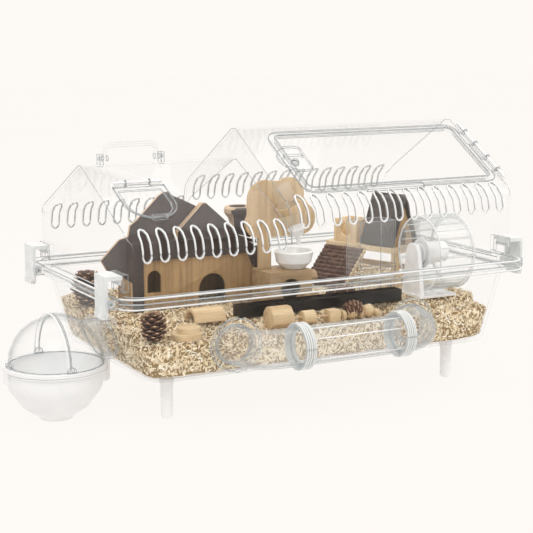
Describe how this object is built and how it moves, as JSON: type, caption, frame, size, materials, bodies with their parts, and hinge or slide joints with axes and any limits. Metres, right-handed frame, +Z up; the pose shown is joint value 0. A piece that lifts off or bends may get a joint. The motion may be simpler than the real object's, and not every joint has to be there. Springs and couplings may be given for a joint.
{
  "type": "hamster cage",
  "caption": "Clear plastic hamster cage on feet, with a gabled lift-off cover, roof door, outside tunnel, bath ball, running wheel and wooden furniture.",
  "frame": {"origin": "middle of the bounding box, on the floor under the feet", "axes": "+X along the cage's length, away from the bath ball; +Y to the rear, away from the tunnel; +Z up"},
  "size_m": [0.719, 0.4034, 0.353],
  "materials": {
    "clear_plastic": "clear polished",
    "milky_plastic": "translucent milky",
    "white_plastic": "glossy",
    "ceramic": "glazed",
    "pale_wood": "bare plywood",
    "dark_wood": "stained",
    "bark": "rough bark",
    "pine_cone": "natural",
    "wood_shavings": "loose shavings",
    "smoked_plastic": "smoked clear"
  },
  "bodies": {
    "base": {"base_tray": "clear_plastic", "wall_collar_left": "clear_plastic", "wall_collar_right": "clear_plastic", "tunnel_elbow_left": "clear_plastic", "tunnel_elbow_right": "clear_plastic", "tunnel_tube": "clear_plastic", "bath_port_tube": "clear_plastic", "bath_port_collar": "clear_plastic", "bath_dome_fixed": "clear_plastic", "water_bottle": "clear_plastic", "food_hopper": "clear_plastic", "coupling_ring_left": "milky_plastic", "coupling_ring_right": "milky_plastic", "foot_front_left": "white_plastic", "foot_front_right": "white_plastic", "foot_rear_left": "white_plastic", "foot_rear_right": "white_plastic", "bath_bowl": "white_plastic", "wheel_stand": "white_plastic", "bottle_spout": "white_plastic", "drinking_dish": "ceramic", "house_front_wall": "pale_wood", "house_back_wall": "pale_wood", "house_side_left": "pale_wood", "house_side_right": "pale_wood", "deck": "pale_wood", "deck_box": "pale_wood", "deck_hut": "pale_wood", "bottle_board": "pale_wood", "dish_box": "pale_wood", "toy_string": "pale_wood", "wood_slices": "pale_wood", "half_log": "pale_wood", "log_arch": "pale_wood", "house_crown_board": "dark_wood", "house_dormer_board": "dark_wood", "house_roof_left": "dark_wood", "house_roof_right": "dark_wood", "house_chimney": "dark_wood", "deck_hut_roof": "dark_wood", "stick_ladder": "bark", "pine_cone_rear": "pine_cone", "pine_cone_front": "pine_cone", "pine_cone_middle": "pine_cone", "bedding": "wood_shavings", "sand_bath": "smoked_plastic"},
    "cover": {"top_cover": "clear_plastic", "door_hinge_pin": "white_plastic", "flap_hinge_pin": "white_plastic"},
    "door": {"roof_door": "clear_plastic"},
    "disc": {"door_latch_disc": "clear_plastic"},
    "flap": {"feeding_flap": "clear_plastic"},
    "handle": {"carry_handle": "clear_plastic"},
    "latch_fl": {"latch_front_left": "milky_plastic"},
    "latch_rl": {"latch_rear_left": "milky_plastic"},
    "latch_fr": {"latch_front_right": "milky_plastic"},
    "latch_rr": {"latch_rear_right": "milky_plastic"},
    "wheel": {"wheel_drum": "clear_plastic", "wheel_hub": "white_plastic"},
    "visor": {"bath_dome_visor": "clear_plastic"}
  },
  "joints": [
    {"name": "cover_lift", "type": "slide", "parent": "base", "child": "cover", "axis": [0, 0, 1], "range_m": [0, 0.2]},
    {"name": "roof_door_hinge", "type": "hinge", "parent": "cover", "child": "door", "pos_m": [0.3305, -0.05023, 0.31554], "axis": [0, 0.8595, 0.5112], "range_deg": [0, 110]},
    {"name": "latch_disc_turn", "type": "hinge", "parent": "door", "child": "disc", "pos_m": [0.0305, -0.05044, 0.31588], "axis": [0, -0.5112, 0.8595], "range_deg": [0, 180]},
    {"name": "feeding_flap_hinge", "type": "hinge", "parent": "cover", "child": "flap", "pos_m": [-0.1845, -0.02463, 0.2954], "axis": [-1, 0, 0], "range_deg": [0, 115]},
    {"name": "handle_fold", "type": "hinge", "parent": "cover", "child": "handle", "pos_m": [-0.1705, 0.02775, 0.3215], "axis": [1, 0, 0], "range_deg": [-85, 85]},
    {"name": "latch_front_left_swing", "type": "hinge", "parent": "base", "child": "latch_fl", "pos_m": [-0.2625, -0.10625, 0.1635], "axis": [0, -1, 0], "range_deg": [0, 55]},
    {"name": "latch_rear_left_swing", "type": "hinge", "parent": "base", "child": "latch_rl", "pos_m": [-0.2625, 0.15075, 0.1635], "axis": [0, -1, 0], "range_deg": [0, 55]},
    {"name": "latch_front_right_swing", "type": "hinge", "parent": "base", "child": "latch_fr", "pos_m": [0.3495, -0.09925, 0.1635], "axis": [0, 1, 0], "range_deg": [0, 55]},
    {"name": "latch_rear_right_swing", "type": "hinge", "parent": "base", "child": "latch_rr", "pos_m": [0.3495, 0.15075, 0.1635], "axis": [0, 1, 0], "range_deg": [0, 55]},
    {"name": "wheel_spin", "type": "hinge", "parent": "base", "child": "wheel", "pos_m": [0.2605, -0.04625, 0.174], "axis": [1, 0, 0], "continuous": true},
    {"name": "bath_visor_swing", "type": "hinge", "parent": "base", "child": "visor", "pos_m": [-0.2935, -0.00725, 0.072], "axis": [0, 1, 0], "range_deg": [0, 75]}
  ]
}
